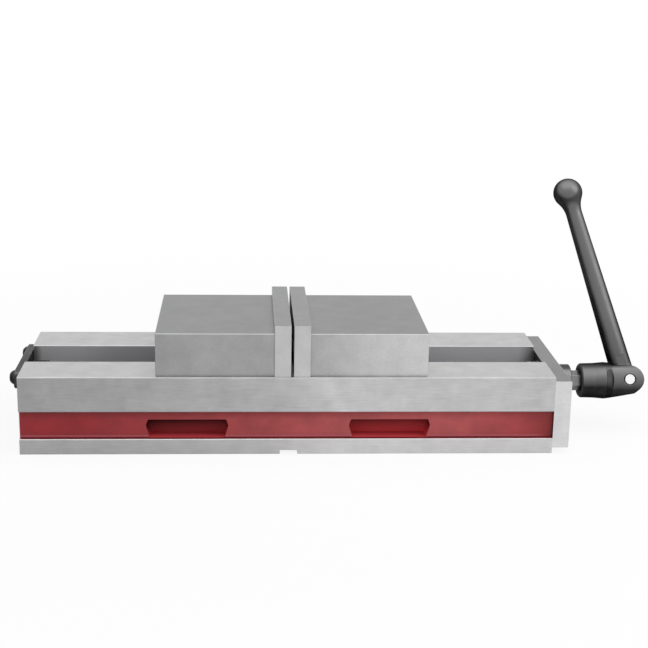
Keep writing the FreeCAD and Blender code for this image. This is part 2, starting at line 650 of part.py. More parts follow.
def jaw_block():
    half = JAW_BLOCK_HALF_WIDTH
    top = SEAT_HEIGHT + JAW_BLOCK_HEIGHT
    body = block(BLOCK_START, BLOCK_END, -half, half, SEAT_HEIGHT, top)
    outer = edges_where(body, lambda b: near(b.ZMin, top) or near(b.XMin, BLOCK_END))
    body = body.makeChamfer(JAW_BLOCK_CHAMFER, outer)
    low = SEAT_HEIGHT - TONGUE_DEPTH
    wide = TONGUE_HALF_WIDTH
    front = block(BLOCK_START, BLOCK_START + TONGUE_FRONT_LENGTH, -wide, wide, low, SEAT_HEIGHT)
    rear = block(BLOCK_END - TONGUE_REAR_LENGTH, BLOCK_END, -wide, wide, low, SEAT_HEIGHT)
    body = body.fuse([front, rear])
    roof = HORN_HEIGHT + HORN_CLEARANCE
    pocket = prism_xz([
        (slope_line(0, HORN_STANDOFF), 0),
        (JAW_POCKET_END, 0),
        (JAW_POCKET_END, roof),
        (slope_line(roof, HORN_STANDOFF), roof),
    ], HORN_WIDTH + 2 * HORN_CLEARANCE)
    pocket.translate(V(0, 0, SEAT_HEIGHT))
    z = SEAT_HEIGHT + JAW_SCREW_HEIGHT
    depth = JAW_SCREW_LENGTH + CAP_COUNTERBORE_DEPTH - JAW_PLATE_THICKNESS + TAP_SPARE
    cuts = [pocket, joint_ball()]
    cuts.append(rod(JAW_SET_RADIUS, JAW_POCKET_END, BLOCK_END, 0, SEAT_HEIGHT + BALL_JOINT_HEIGHT))
    cuts += both_sides(lambda y: rod(CAP_RADIUS, BLOCK_START, BLOCK_START + depth, y, z), JAW_SCREW_Y)
    return body.cut(cuts)


def jaw_set_screw():
    end = BLOCK_END - JAW_SET_SUNK
    z = SEAT_HEIGHT + BALL_JOINT_HEIGHT
    screw = rod(JAW_SET_RADIUS, HORN_BACK, end, 0, z)
    tip = edges_where(screw, lambda b: near(b.XMax, HORN_BACK))
    screw = screw.makeChamfer(SET_CHAMFER, tip)
    return screw.cut(hexagon(JAW_SET_FLATS, end - SET_SOCKET_DEPTH, end, 0, z))


def screw_nut():
    """The nut: flanges below the rails, a neck between them and a horn into the jaw."""
    neck = TONGUE_HALF_WIDTH
    flange = CHANNEL_WIDTH / 2 - NUT_SIDE_CLEARANCE
    low = SCREW_HEIGHT - NUT_BELOW_SCREW
    shelf = RAIL_UNDERSIDE - NUT_TOP_CLEARANCE
    top = BED_HEIGHT - NUT_TOP_CLEARANCE
    outline = [(-flange, low), (flange, low), (flange, shelf), (neck, shelf),
               (neck, top), (-neck, top), (-neck, shelf), (-flange, shelf)]
    nut = prism_x(outline, NUT_START, NUT_END)
    keel = edges_where(nut, lambda b: near(b.XLength, NUT_END - NUT_START) and near(b.ZMax, low))
    nut = nut.makeChamfer(NUT_CHAMFER, keel)
    foot = top - SEAT_HEIGHT
    horn = prism_xz([
        (slope_line(foot), foot),
        (HORN_BACK, foot),
        (HORN_BACK, HORN_HEIGHT),
        (slope_line(HORN_HEIGHT), HORN_HEIGHT),
    ], HORN_WIDTH)
    horn.translate(V(0, 0, SEAT_HEIGHT))
    bore = rod(THREAD_RADIUS + RUN_CLEARANCE, NUT_START, NUT_END)
    return nut.fuse(horn).cut(bore)


JAW_PIECES = {
    "jaw_block": jaw_block,
    "jaw_plate": jaw_plate,
    "jaw_plate_screws": jaw_plate_screws,
    "screw_nut": screw_nut,
    "lock_segment": lock_segment,
    "jaw_set_screw": jaw_set_screw,
}


def jaw(make, side):
    """A jaw's piece at its place: the right one moved, the left one its mirror image."""
    shape = make()
    if side == "left":
        shape = shape.mirror(V(0, 0, 0), ALONG_X)
    shape.translate(V(JAW_CENTRE_X, 0, 0))
    return shape


# crank, whose clevis and arm are drawn upright about the pin, then turned about the screw

def about_pin(points, width, lean):
    """An outline in the arm's own plane, with the pin at zero, leaning from upright."""
    shape = prism_xz(points, width)
    return placed_at_pin(shape, lean)


def placed_at_pin(shape, lean):
    shape.Placement = FreeCAD.Placement(V(PIN_X, 0, PIN_Z), FreeCAD.Rotation(ALONG_Y, lean))
    return shape


def round_about_pin(radius, width):
    return Part.makeCylinder(radius, width, V(PIN_X, -width / 2, PIN_Z), ALONG_Y)


def arm_slope():
    """How much the arm's radius shrinks for each millimetre towards the ball."""
    return (ARM_ROOT_RADIUS - ARM_TIP_RADIUS) / ARM_LENGTH


def arm_radius(height):
    """The arm's radius at a distance from the pin along it; it tapers to the ball."""
    return ARM_ROOT_RADIUS - arm_slope() * height


def arm_profile():
    """Half the outline of the round arm: the taper, a hollow neck and the ball, in one line."""
    slope = arm_slope()
    normal = math.hypot(1, slope)
    base = ARM_TIP_RADIUS + ARM_NECK_RADIUS * normal
    reach = ARM_BALL_RADIUS + ARM_NECK_RADIUS
    inside = (base * slope) ** 2 - normal ** 2 * (base ** 2 - reach ** 2)
    below = (math.sqrt(inside) - base * slope) / normal ** 2
    middle = V(base + slope * below, 0, ARM_LENGTH - below)
    ball = V(0, 0, ARM_LENGTH)
    from_taper = middle - V(1, 0, slope).normalize() * ARM_NECK_RADIUS
    to_ball = ball + (middle - ball).normalize() * ARM_BALL_RADIUS
    waist = (from_taper + to_ball) * 0.5 - middle
    waist = middle + waist.normalize() * ARM_NECK_RADIUS
    cheek = ball + V(1, 0, 1).normalize() * ARM_BALL_RADIUS
    top = ball + ALONG_Z * ARM_BALL_RADIUS
    start = V(0, 0, 0)
    root = V(arm_radius(ARM_FOOT_CHAMFER), 0, ARM_FOOT_CHAMFER)
    foot = V(root.x - ARM_FOOT_CHAMFER, 0, 0)
    return Part.Wire([
        Part.LineSegment(start, foot).toShape(),
        Part.LineSegment(foot, root).toShape(),
        Part.LineSegment(root, from_taper).toShape(),
        Part.Arc(from_taper, waist, to_ball).toShape(),
        Part.Arc(to_ball, cheek, top).toShape(),
        Part.LineSegment(top, start).toShape(),
    ])


def arm_flank(height, side, spare):
    """A point beside the arm: on its left flank if side is -1, on its right one if 1."""
    return -ARM_OFFSET + side * (arm_radius(height) + spare), height


def arm_room():
    """What is cut between the ears: the arm's path from leaning on the hub to straight out."""
    radius = ARM_EYE_RADIUS + ARM_END_CLEARANCE
    width = ARM_TONGUE_WIDTH + 2 * ARM_SIDE_CLEARANCE
    reach = ARM_CUT_REACH
    wall = [arm_flank(height, -1, ARM_STOP_CLEARANCE) for height in (ARM_STOP_START, reach)]
    floor = [arm_flank(height, 1, ARM_STOP_CLEARANCE) for height in (reach, ARM_STOP_START)]
    leaning = about_pin([(0, 0), tangent(wall[0], radius, 1)] + wall + [(0, reach)], width, -ARM_LEAN)
    lying = about_pin([(0, 0), (0, reach)] + floor, width, ARM_OUT)
    lean = math.radians(ARM_LEAN)
    between = about_pin(
        [(0, 0), (-reach * math.sin(lean), reach * math.cos(lean)), (reach, reach), (reach, 0)], width, 0
    )
    return [leaning, lying, between, round_about_pin(radius, width)]


def ear_outline():
    """The clevis seen from its side: two tapered edges, a blunt heel and a round end."""
    top = (HUB_BULGE_X - PIN_X, HUB_RIM_RADIUS - PIN_ABOVE_SCREW)
    bottom = (HUB_BULGE_X - PIN_X, -HUB_RIM_RADIUS - PIN_ABOVE_SCREW)
    angle = math.radians(-EAR_HEEL_ANGLE)
    reach = EAR_RADIUS + EAR_HEEL
    heel = (reach * math.cos(angle), reach * math.sin(angle))
    return [(0, 0), tangent(top, EAR_RADIUS, -1), top, bottom, heel, tangent(heel, EAR_RADIUS, 1)]


def clevis():
    """The ears before the arm's room is cut: round like the rim, with crowned and necked sides."""
    ears = about_pin(ear_outline(), EAR_WIDTH, 0).fuse(round_about_pin(EAR_RADIUS, EAR_WIDTH))
    x0, x1 = HUB_BULGE_X, PIN_X + 2 * EAR_RADIUS
    ears = ears.common(rod(HUB_RIM_RADIUS, x0, x1))
    for side in (-1, 1):
        ears = ears.common(rod(EAR_CROWN, x0, x1, side * (EAR_WIDTH / 2 - EAR_CROWN)))
        neck_y = side * (EAR_WIDTH / 2 - EAR_NECK_DEPTH + EAR_NECK_RADIUS)
        foot = V(HUB_BULGE_X + EAR_NECK_FROM_RIM, neck_y, SCREW_HEIGHT - HUB_RIM_RADIUS)
        ears = ears.cut(Part.makeCylinder(EAR_NECK_RADIUS, 2 * HUB_RIM_RADIUS, foot))
    return ears


def crank_hub():
    x = HUB_FACE
    profile = [
        (x, 0),
        (x, HUB_RADIUS - HUB_CHAMFER),
        (x + HUB_CHAMFER, HUB_RADIUS),
        (x + HUB_SLEEVE_LENGTH, HUB_RADIUS + HUB_SLEEVE_FLARE),
        (HUB_BULGE_X, HUB_RIM_RADIUS),
        (HUB_BULGE_X + HUB_STEP_LENGTH, HUB_RIM_RADIUS - HUB_STEP),
        (HUB_BULGE_X + HUB_STEP_LENGTH, 0),
    ]
    hub = turned(profile).fuse(clevis())
    cuts = arm_room()
    cuts.append(hexagon(HEX_FLATS + HUB_SOCKET_CLEARANCE, x, x + HUB_SOCKET_DEPTH))
    mouth = HUB_RADIUS - HUB_MOUTH_WALL
    depth = HUB_MOUTH_DEPTH
    cuts.append(Part.makeCone(mouth, mouth - depth, depth, V(x, 0, SCREW_HEIGHT), ALONG_X))
    cuts.append(round_about_pin(PIN_RADIUS, EAR_WIDTH))
    wide = PIN_RADIUS + PIN_COUNTERSINK
    for side in (-1, 1):
        face = V(PIN_X, side * EAR_WIDTH / 2, PIN_Z)
        cuts.append(Part.makeCone(wide, PIN_RADIUS, PIN_COUNTERSINK, face, V(0, -side, 0)))
    return with_crank_turn(hub.cut(cuts))


def crank_pin():
    pin = round_about_pin(PIN_RADIUS, EAR_WIDTH - 2 * PIN_SINK)
    ends = edges_where(pin, lambda b: near(b.YLength, 0))
    return with_crank_turn(pin.makeChamfer(PIN_CHAMFER, ends))


def crank_arm():
    arm = Part.Face(arm_profile()).revolve(V(0, 0, 0), ALONG_Z, 360)
    arm.translate(V(-ARM_OFFSET, 0, 0))
    half = ARM_TONGUE_WIDTH / 2
    reach = 2 * ARM_ROOT_RADIUS
    for y0, y1 in ((-reach, -half), (half, reach)):
        arm = arm.cut(block(-ARM_OFFSET - reach, reach, y0, y1, 0, ARM_FLATS_END))
    eye = Part.makeCylinder(ARM_EYE_RADIUS, ARM_TONGUE_WIDTH, V(0, -half, 0), ALONG_Y)
    bore = Part.makeCylinder(PIN_RADIUS + ARM_BORE_CLEARANCE, ARM_TONGUE_WIDTH, V(0, -half, 0), ALONG_Y)
    return with_crank_turn(placed_at_pin(arm.fuse(eye).cut(bore), -ARM_LEAN))


PIECES = {
    "bed": bed,
    "end_plate": end_plate,
    "end_plate_screws": end_plate_screws,
    "journal_bush": journal_bush,
    "thrust_race_housing": thrust_race_housing,
    "tail_bush": tail_bush,
    "end_bar": end_bar,
    "end_bar_screws": end_bar_screws,
    "leadscrew": leadscrew,
    "thrust_race_shaft": thrust_race_shaft,
    "thrust_washer": thrust_washer,
    "lock_collar": lock_collar,
    "collar_set_screw": collar_set_screw,
    "crank_hub": crank_hub,
    "crank_pin": crank_pin,
    "thrust_cage": thrust_cage,
    "thrust_balls": thrust_balls,
    "crank_arm": crank_arm,
}


def save(name, shape):
    if not shape.isValid():
        raise ValueError(name + " is not a valid solid")
    shape.exportStep("parts/" + name + ".step")
    print(name, len(shape.Solids), "solid", round(shape.Volume / 1000, 2), "cm3")


os.makedirs("parts", exist_ok=True)
for name, make in PIECES.items():
    save(name, make())
for side in ("left", "right"):
    for name, make in JAW_PIECES.items():
        save(name + "_" + side, jaw(make, side))
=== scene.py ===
import math

import bpy
from mathutils import Matrix, Vector

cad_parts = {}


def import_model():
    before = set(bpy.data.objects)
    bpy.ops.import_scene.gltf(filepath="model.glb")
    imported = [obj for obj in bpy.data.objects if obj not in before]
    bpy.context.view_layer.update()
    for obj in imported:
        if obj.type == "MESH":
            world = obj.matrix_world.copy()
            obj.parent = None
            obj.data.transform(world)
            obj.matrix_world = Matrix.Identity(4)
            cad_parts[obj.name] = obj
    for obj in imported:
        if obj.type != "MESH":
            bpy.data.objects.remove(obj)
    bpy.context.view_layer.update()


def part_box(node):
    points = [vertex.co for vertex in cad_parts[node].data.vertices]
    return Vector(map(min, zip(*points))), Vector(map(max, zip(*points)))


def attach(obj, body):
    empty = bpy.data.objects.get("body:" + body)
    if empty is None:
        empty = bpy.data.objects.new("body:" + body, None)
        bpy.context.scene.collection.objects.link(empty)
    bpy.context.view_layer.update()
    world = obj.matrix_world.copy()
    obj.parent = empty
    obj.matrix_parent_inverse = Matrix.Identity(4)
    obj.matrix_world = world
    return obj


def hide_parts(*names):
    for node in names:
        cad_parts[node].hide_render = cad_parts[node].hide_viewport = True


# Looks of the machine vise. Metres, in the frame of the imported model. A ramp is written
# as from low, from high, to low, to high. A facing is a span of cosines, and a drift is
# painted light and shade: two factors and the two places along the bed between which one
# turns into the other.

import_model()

# the camera, fitted to the edges in the photograph: radians, and millimetres for the lens
CAMERA_PLACE = Vector((-0.0423, -1.3364, 0.4741))
CAMERA_YAW = 0.059
CAMERA_PITCH = -0.267
CAMERA_ROLL = 0.018
CAMERA_LENS = 77.16
SENSOR_WIDTH = 36.0

# floor, world and lamps
FLOOR_HALF = 4.0
FLOOR_LEVEL = -0.0003
FLOOR_PALE = (0.95, 0.95, 0.95, 1.0)
FLOOR_GLOW = (0.35, 0.9, 0.88, 1.0)
FLOOR_IN_GLOSS = 0.3
WORLD_STRENGTH = (0.0, 1.0, 0.4, 1.0)
LAMPS = (
    ("overhead", (0.0, -0.2, 1.9), (0.0, 0.0, 0.05), (3.0, 2.4), 25.0),
    ("right", (1.45, -0.6, 1.1), (0.1, 0.0, 0.05), (1.1, 1.1), 7.6),
)

# the leadscrew, where crest and flank are shares of the pitch
SCREW_HEIGHT = 0.049
THREAD_PITCH = 0.005
THREAD_RADIUS = 0.014
THREAD_DEPTH = 0.0026
THREAD_CREST = 0.37
THREAD_FLANK = 0.13
THREAD_START = -0.2385
NECK_START = -0.009
NECK_END = 0.015
NECK_RADIUS = 0.0115
NECK_CONE = 0.0025
CONE_RUN = 0.0002
SHOULDER = 0.2440
END_CHAMFER = 0.0015
TAIL_RADIUS = 0.007
TAIL_CHAMFER = 0.0005
TAIL_CENTRE = 0.0001
JOURNAL_RADIUS = 0.010
HEX_START = 0.2877
HEX_FLATS = 0.018
HEX_INSIDE = 0.008
HEX_PROUD = 0.0002
HEX_CHAMFER = 0.001
CRANK_TURN = 17.0
TURN_STEPS = 48
HEX_SIDES = 6

# ground and milled metal, with noise in features per metre
STREAK_SHARE = 0.55
SPECK_SCALE = 2600.0
SPECK_SHARE = 0.45
SPECK_RELIEF = 0.5
MOTTLE_SCALE = 55.0
MOTTLE_SHARE = 0.42
SKIN_SPAN = (0.32, 0.68)
STREAK_SPAN = (0.3, 0.7)
GROUND_GRAIN = 900.0
GROUND_STRETCH = (0.05, 1.0, 1.0)
GROUND_ROUGH = (0.34, 0.46)
GROUND_BUMP = 0.12
GROUND_EDGE = 0.0004
RELIEF_DEPTH = 0.0001
EDGE_SHARPNESS = 6.0
EDGE_WEAR_AND_HIGHLIGHT = 1.05
UP = (0, 0, 1)
LEFT = (-1, 0, 0)
RIGHT = (1, 0, 0)
STANDING = (0.3, 0.6)
SLANT_FROM = (0.55, 0.62)
SLANT_TO = (0.80, 0.87)
JAW_MIDDLE = 0.003
# painted light and shade along the jaws
JAW_LIGHT_DRIFTS = (((0.5, 1.4), (-0.25, 0.25)), ((1.0, 0.88), (-0.08, -0.03)), ((1.0, 1.23), (0.02, 0.08)))

# black steel, and the painted light and shade on it: painted highlights on the hub, arm and ball,
# painted shade low on the hub and in the groove behind the ears, a painted reflection on the collar's front
# and painted glints on the hexagon's edges
CAST_SHARE = 0.4
CLOUD_SCALE = 45.0
CLOUD_SHARE = 0.6
CLOUD_SPAN = (0.35, 0.65)
BLOTCHES = 0.5
BLACK_ROUGH = (0.36, 0.5)
BLACK_BUMP = 0.25
BLACK_EDGE = 0.0005
HUB_SIDE = (0.269, -0.741, 0.616)
HUB_FACING = (0.55, 0.93)
HUB_SOFTNESS = 1.4
HUB_LEAST = 0.11
HUB_LOW = (0.030, 0.051, -0.9, 0.0)
HUB_MOUTH = (0.3, 0.6, 0.32)
GROOVE_MIDDLE = 0.3262
GROOVE_HALF = 0.0033
GROOVE_BLUR = 0.0006
GROOVE_LIGHT = (0.0455, 0.053, 0.04, 0.62)
ARM_SIDE = (0.019, -0.954, 0.298)
ARM_FACING = (0.55, 0.87)
ARM_FRONT = (0.08, 0.15, 0.76, 1.0)
ARM_ROUND = (0.07, 0.15, 0.03, 0.2)
ARM_SPAN = (0.067, 0.070)
BALL_SIDE = (-0.1906, -0.8008, 0.5674)
BALL_FACING = (0.55, 0.80)
BALL_RIGHT = (-1.6, 0.5, 0.5)
BALL_SPAN = (0.217, 0.227)
COLLAR_FROM = 0.2738
COLLAR_SIDE = (0.0, -0.954, 0.298)
COLLAR_FACING = (0.70, 0.82)
HEX_EDGE = 0.0010
HEX_EDGE_HIGHLIGHT = 1.8

# the bed's bare metal, with painted light and shade drifting along it and painted shade on its chamfers,
# and the slot over the screw, whose walls carry painted light and shade, darkest at both ends and on the
# ledges
BED_GREY = "b8b8b9"
BED_CONTRAST = 0.155
BED_EDGE_SHARE = 0.3
BED_EDGE_WEAR_AND_HIGHLIGHT = 1.1
BED_CHAMFER_SHADE = 0.83
BED_LIGHT_DRIFTS = (((0.74, 1.14), (-0.25, 0.25)), ((1.0, 1.22), (-0.02, 0.045)), ((1.0, 0.80), (0.045, 0.215)))
FOOT_LIGHT = 0.12
WHITE = (1.0, 1.0, 1.0, 1.0)
SLOT_GREY = "b0b0b2"
SLOT_SIDE = 0.0283
SLOT_HEIGHT = (0.002, 0.0762)
SLOT_END = 0.2555
SLOT_PAINTED_SHADES = ((-0.24, 0.24, 1.3), (-0.177, -0.209, 1.2), (0.241, 0.256, 0.35), (-0.2475, -0.2535, 0.4))
SLOT_LEDGE_SHADE = 0.15
SLOT_DULL = 0.7
SLOT_ROUGH = 0.2

# the painted band along each side of the bed, and the clamp pockets in it, with painted light and shade on
# the paint
BAND_HEIGHT = (0.01530, 0.04235)
BAND_DEPTH = (0.0500, 0.0793)
BAND_ENDS = (-0.2555, 0.2562)
PAINT = "aa393e"
PAINT_IN_SHADE = "8e2527"
PAINT_SHADED_LEFT = "9a282f"
PAINT_LIT_MIDDLE = "b85456"
PAINT_SHADED_RIGHT = "a33a3d"
PAINT_LIP_HIGHLIGHT = "cc6a76"
PAINT_LIGHT_RISE = (-0.2, 0.06)
PAINT_LIGHT_FALL = (0.16, 0.24)
PAINT_CLOUD = 48.0
PAINT_PATCHES = (0.35, 0.65, 0.88, 1.12)
PAINT_PEEL = 420.0
PEEL_BUMP = 0.5
PAINT_ROUGH = (0.3, 0.7, 0.3, 0.4)
PAINT_SPECULAR = 0.3
PAINT_EDGE_SHARE = 0.35
PAINT_EDGE_HIGHLIGHT = 1.8
LIP_HIGHLIGHT_LINE = (0.0186, 0.0178, 0.0, 0.6)
FLOOR_SHADE_LINE = (0.0164, 0.0159)
FLOOR_LINE_SHADE = 0.6
UPPER_SPAN = (0.034, BAND_HEIGHT[1])
UPPER_SHARE = (-0.25, 0.25, 0.9, 0.2)
UPPER_SHADE = 0.85
PLATE_SHADOW = (0.238, 0.254, 0.0, 0.85)
POCKET_SIDE = 0.0755
POCKET_SPAN = (-0.1, 0.1)
POCKET_SHADES = (0.3, 0.57)
POCKET_LIGHT_SPAN = (0.0150, 0.0265)
POCKET_LIGHT = 2.1
POCKET_LIGHT_DRIFT = ((0.35, 1.4), (-0.25, 0.25))
POCKET_DARK = (0.018, 0.026, 0.0, 0.6)
POCKET_ROUGH = 0.3


def srgb(text):
    """A colour written as RRGGBB, in linear light."""
    values = [int(text[i:i + 2], 16) / 255 for i in (0, 2, 4)]
    return tuple(v / 12.92 if v <= 0.04045 else ((v + 0.055) / 1.055) ** 2.4 for v in values) + (1.0,)


def scaled(colour, factor):
    return tuple(min(1.0, c * factor) for c in colour[:3]) + (1.0,)


# node graphs

def add(tree, kind, inputs=None, **settings):
    node = tree.nodes.new(kind)
    for name, value in settings.items():
        setattr(node, name, value)
    for name, value in (inputs or {}).items():
        plug(tree, node.inputs[name], value)
    return node


def plug(tree, socket, value):
    if isinstance(value, bpy.types.NodeSocket):
        tree.links.new(value, socket)
    else:
        socket.default_value = value


def maths(tree, operation, a, b=0.0, clamp=False):
    node = add(tree, "ShaderNodeMath", {0: a, 1: b}, operation=operation, use_clamp=clamp)
    return node.outputs[0]


def ramp(tree, value, low, high, to_low=0.0, to_high=1.0):
    """Maps value from low..high to to_low..to_high, and holds it there outside."""
    inputs = {"Value": value, "From Min": low, "From Max": high, "To Min": to_low, "To Max": to_high}
    return add(tree, "ShaderNodeMapRange", inputs, clamp=True).outputs["Result"]


def mixed(tree, factor, a, b):
    """One colour turned into another."""
    node = add(tree, "ShaderNodeMix", {0: factor, 6: a, 7: b}, data_type="RGBA")
    return node.outputs[2]


def blended(tree, factor, a, b):
    """One number turned into another."""
    return add(tree, "ShaderNodeMix", {0: factor, 2: a, 3: b}).outputs[0]


def multiplied(tree, colour, factor):
    return add(tree, "ShaderNodeVectorMath", {0: colour, "Scale": factor}, operation="SCALE").outputs[0]


def noise(tree, scale, detail=3.0, stretch=(1.0, 1.0, 1.0), roughness=0.55):
    """Noise fixed to the object, in features of about 1 / scale metres, drawn out by stretch."""
    place = add(tree, "ShaderNodeTexCoord").outputs["Object"]
    turned = add(tree, "ShaderNodeMapping", {"Vector": place, "Scale": stretch}).outputs["Vector"]
    inputs = {"Vector": turned, "Scale": scale, "Detail": detail, "Roughness": roughness}
    return add(tree, "ShaderNodeTexNoise", inputs).outputs["Fac"]


def rounded_normal(tree, radius):
    return add(tree, "ShaderNodeBevel", {"Radius": radius}, samples=6).outputs["Normal"]


def bumped_normal(tree, strength, height, rounded):
    inputs = {"Strength": strength, "Distance": RELIEF_DEPTH, "Height": height, "Normal": rounded}
    return add(tree, "ShaderNodeBump", inputs).outputs["Normal"]


def edge_mask(tree, rounded):
    """1 where the rounded normal leaves the flat one, which is along edges."""
    flat = add(tree, "ShaderNodeNewGeometry").outputs["Normal"]
    inputs = {0: rounded, 1: flat}
    dot = add(tree, "ShaderNodeVectorMath", inputs, operation="DOT_PRODUCT").outputs["Value"]
    return maths(tree, "MULTIPLY", maths(tree, "SUBTRACT", 1.0, dot), EDGE_SHARPNESS, clamp=True)


def facing(tree, axis, low=0.75, high=0.95, most=1.0):
    """Most on faces that look along an axis of the object, such as up, and 0 elsewhere."""
    normal = add(tree, "ShaderNodeTexCoord").outputs["Normal"]
    inputs = {0: normal, 1: axis}
    dot = add(tree, "ShaderNodeVectorMath", inputs, operation="DOT_PRODUCT").outputs["Value"]
    return ramp(tree, dot, low, high, 0.0, most)


def coordinate(tree, axis):
    place = add(tree, "ShaderNodeTexCoord").outputs["Object"]
    return add(tree, "ShaderNodeSeparateXYZ", {0: place}).outputs[axis]


def within(tree, value, low, high):
    above = maths(tree, "GREATER_THAN", value, low)
    below = maths(tree, "LESS_THAN", value, high)
    return maths(tree, "MULTIPLY", above, below)


def painted_light_drift(tree, colour, factors, span):
    """Painted light and shade: the colour of standing faces, lighter or darker along the bed from one place
    to another.
    """
    standing = maths(tree, "SUBTRACT", 1.0, facing(tree, UP, *STANDING))
    factor = ramp(tree, coordinate(tree, "X"), *span, *factors)
    factor = maths(tree, "MULTIPLY", maths(tree, "SUBTRACT", factor, 1.0), standing)
    return multiplied(tree, colour, maths(tree, "ADD", factor, 1.0))


def shaded_chamfers(tree, colour, factor):
    """The colour, scaled by a factor on faces that slant up at about 45 degrees: painted shade that dims
    the chamfers' highlight.
    """
    slanted = maths(tree, "SUBTRACT", facing(tree, UP, *SLANT_FROM), facing(tree, UP, *SLANT_TO))
    loss = maths(tree, "MULTIPLY", slanted, 1.0 - factor)
    return multiplied(tree, colour, maths(tree, "SUBTRACT", 1.0, loss))


# materials

def bare_material(name):
    """The record's material slot of that name, emptied, with a plain shader put in."""
    material = bpy.data.materials.get(name) or bpy.data.materials.new(name)
    material.use_nodes = True
    tree = material.node_tree
    tree.nodes.clear()
    shader = add(tree, "ShaderNodeBsdfPrincipled")
    output = add(tree, "ShaderNodeOutputMaterial")
    tree.links.new(shader.outputs["BSDF"], output.inputs["Surface"])
    return tree, shader


def metal_skin(tree, colour, grain, stretch, contrast, shaded_top=None):
    """The colour of machined metal: streaks along the cut, a slow mottle and fine specks. A shaded top
    colour, if given, is painted shade on faces that look up.
    """
    streaks = noise(tree, grain, detail=4.0, stretch=stretch)
    mottle = noise(tree, MOTTLE_SCALE, detail=2.0)
    specks = noise(tree, SPECK_SCALE, detail=1.0)
    dark, light = scaled(colour, 1 - contrast), scaled(colour, 1 + contrast)
    if shaded_top is not None:
        dark = mixed(tree, facing(tree, UP), dark, scaled(shaded_top, 1 - contrast))
        light = mixed(tree, facing(tree, UP), light, scaled(shaded_top, 1 + contrast))
    fine = maths(tree, "MULTIPLY", specks, SPECK_SHARE)
    slow = maths(tree, "MULTIPLY", maths(tree, "SUBTRACT", mottle, 0.5), MOTTLE_SHARE)
    amount = maths(tree, "ADD", maths(tree, "MULTIPLY", streaks, STREAK_SHARE), fine)
    amount = maths(tree, "ADD", amount, slow)
    relief = maths(tree, "ADD", streaks, maths(tree, "MULTIPLY", specks, SPECK_RELIEF))
    return mixed(tree, ramp(tree, amount, *SKIN_SPAN), dark, light), streaks, relief


def machined(name, colour, shaded_top=None, grain=GROUND_GRAIN, stretch=GROUND_STRETCH, contrast=0.12,
             rough=GROUND_ROUGH, bump=GROUND_BUMP, edge=GROUND_EDGE, light_drifts=(), inner_shade=None, chamfer=1.0):
    """Ground or milled steel and iron. The shaded top colour is painted shade on faces that look up; right
    of the jaws' meeting plane, faces that look left take the inner shade, also painted shade.
    """
    tree, shader = bare_material(name)
    skin, streaks, relief = metal_skin(tree, colour, grain, stretch, contrast, shaded_top)
    rounded = rounded_normal(tree, edge)
    # edges lighter, partly as wear and partly as a painted highlight
    skin = mixed(tree, edge_mask(tree, rounded), skin, scaled(colour, EDGE_WEAR_AND_HIGHLIGHT))
    # painted light and shade along the bed
    for factors, span in light_drifts:
        skin = painted_light_drift(tree, skin, factors, span)
    # painted shade on faces that look left, right of the jaws' meeting plane
    if inner_shade:
        right_half = maths(tree, "GREATER_THAN", coordinate(tree, "X"), JAW_MIDDLE)
        skin = mixed(tree, maths(tree, "MULTIPLY", right_half, facing(tree, LEFT)), skin, inner_shade)
    # painted shade on the chamfers
    if chamfer < 1.0:
        skin = shaded_chamfers(tree, skin, chamfer)
    plug(tree, shader.inputs["Base Color"], skin)
    plug(tree, shader.inputs["Roughness"], ramp(tree, streaks, *STREAK_SPAN, *rough))
    plug(tree, shader.inputs["Normal"], bumped_normal(tree, bump, relief, rounded))
    shader.inputs["Metallic"].default_value = 1.0
    return tree, shader, skin


def painted_hub_highlight(tree):
    """Painted highlight: 1 on the faces of the hub that look up, forwards and right."""
    return maths(tree, "POWER", facing(tree, HUB_SIDE, *HUB_FACING), HUB_SOFTNESS)


def painted_crank_light(tree):
    """Painted light and shade on the crank: a highlight on the hub's upper side and left end, shade low on
    the hub and in its groove, and a highlight on the arm's front and the ball.
    """
    z = coordinate(tree, "Z")
    hub = maths(tree, "ADD", painted_hub_highlight(tree), ramp(tree, z, *HUB_LOW))
    hub = ramp(tree, hub, 0.0, 1.0, HUB_LEAST, 1.0)
    hub = maths(tree, "ADD", hub, facing(tree, LEFT, *HUB_MOUTH), clamp=True)
    groove = maths(tree, "ABSOLUTE", maths(tree, "SUBTRACT", coordinate(tree, "X"), GROOVE_MIDDLE))
    groove = ramp(tree, groove, GROOVE_HALF - GROOVE_BLUR, GROOVE_HALF + GROOVE_BLUR, 1.0, 0.0)
    hub = blended(tree, groove, hub, ramp(tree, z, *GROOVE_LIGHT))
    arm = maths(tree, "MULTIPLY", facing(tree, ARM_SIDE, *ARM_FACING), ramp(tree, z, *ARM_FRONT))
    arm = maths(tree, "ADD", arm, ramp(tree, z, *ARM_ROUND))
    ball = maths(tree, "MAXIMUM", facing(tree, BALL_SIDE, *BALL_FACING), facing(tree, RIGHT, *BALL_RIGHT))
    arm = blended(tree, ramp(tree, z, *BALL_SPAN), arm, ball)
    return blended(tree, ramp(tree, z, *ARM_SPAN), hub, arm)


